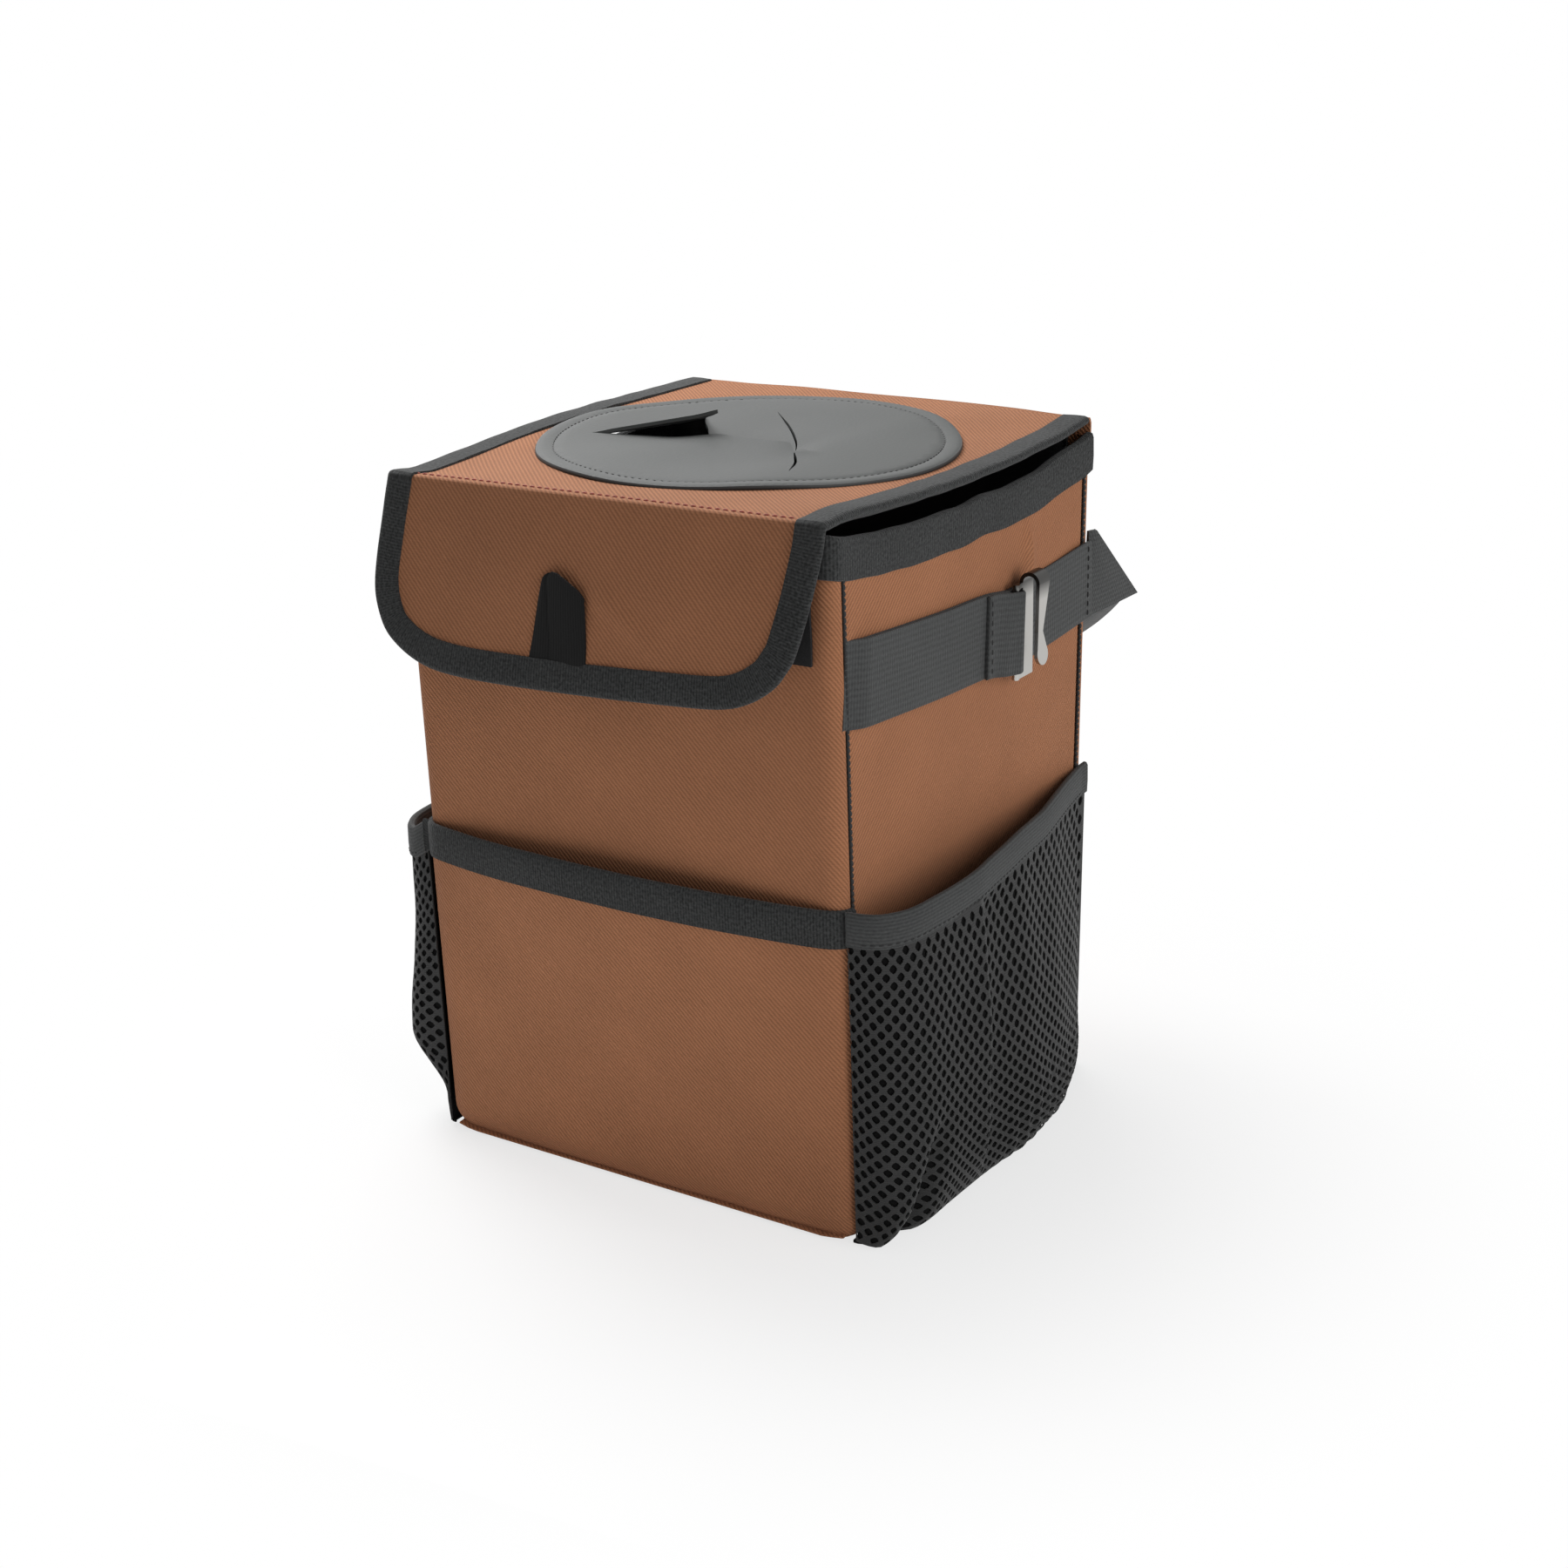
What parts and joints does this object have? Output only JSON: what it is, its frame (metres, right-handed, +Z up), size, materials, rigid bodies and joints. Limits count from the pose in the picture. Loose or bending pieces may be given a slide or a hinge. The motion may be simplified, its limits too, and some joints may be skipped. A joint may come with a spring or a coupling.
{
  "type": "car trash bin",
  "caption": "Boxy soft car trash bin with hinged slit lid and front flap, front pocket, mesh side pockets, webbing bands with hook clips and a hanging strap behind.",
  "frame": {"origin": "centre of the base panel's underside, on the floor", "axes": "+Z up, the front with its pocket and flap faces -Y, +X to the right seen from the front"},
  "size_m": [0.2298, 0.2453, 0.2716],
  "materials": {
    "canvas": "woven brown polyester canvas",
    "stiffener": "polyethylene board",
    "lining": "waterproof film",
    "binding": "woven binding tape",
    "elastic": "folded elastic tape",
    "mesh": "spacer mesh",
    "webbing": "polypropylene webbing",
    "clip_metal": "nickel plated",
    "disc": "grained synthetic leather",
    "hook_and_loop": "hook and loop tape"
  },
  "bodies": {
    "bin": {"front_panel": "canvas", "back_panel": "canvas", "right_side_panel": "canvas", "left_side_panel": "canvas", "base_panel": "canvas", "front_pocket": "canvas", "front_board": "stiffener", "back_board": "stiffener", "base_board": "stiffener", "lining_tub": "lining", "rim_binding": "binding", "front_pocket_binding": "binding", "right_pocket_binding": "elastic", "left_pocket_binding": "elastic", "right_mesh_pocket": "mesh", "left_mesh_pocket": "mesh", "right_mesh_net": "mesh", "left_mesh_net": "mesh", "right_side_band": "webbing", "left_side_band": "webbing", "right_clip_loop": "webbing", "left_clip_loop": "webbing", "back_strap": "webbing", "right_loop_pad": "hook_and_loop", "left_loop_pad": "hook_and_loop"},
    "lid": {"lid_panel": "canvas", "lid_board": "stiffener", "lid_lining": "lining", "lid_binding_right": "binding", "lid_binding_left": "binding", "opening_disc": "disc"},
    "flap": {"flap_panel": "canvas", "flap_board": "stiffener", "flap_lining": "lining", "flap_binding": "binding", "pull_tab": "binding", "right_hook_pad": "hook_and_loop", "left_hook_pad": "hook_and_loop"},
    "right_clip": {"right_clip": "clip_metal"},
    "left_clip": {"left_clip": "clip_metal"}
  },
  "joints": [
    {"name": "lid_hinge", "type": "hinge", "parent": "bin", "child": "lid", "pos_m": [0, 0.09145, 0.25755], "axis": [-1, 0, 0], "range_deg": [0, 180]},
    {"name": "flap_hinge", "type": "hinge", "parent": "lid", "child": "flap", "pos_m": [0, -0.09645, 0.25755], "axis": [-1, 0, 0], "range_deg": [0, 110]},
    {"name": "right_clip_swivel", "type": "hinge", "parent": "bin", "child": "right_clip", "pos_m": [0.0949, 0.023, 0.195], "axis": [0, 0, -1], "range_deg": [0, 75]},
    {"name": "left_clip_swivel", "type": "hinge", "parent": "bin", "child": "left_clip", "pos_m": [-0.0949, 0.023, 0.195], "axis": [0, 0, 1], "range_deg": [0, 75]}
  ]
}
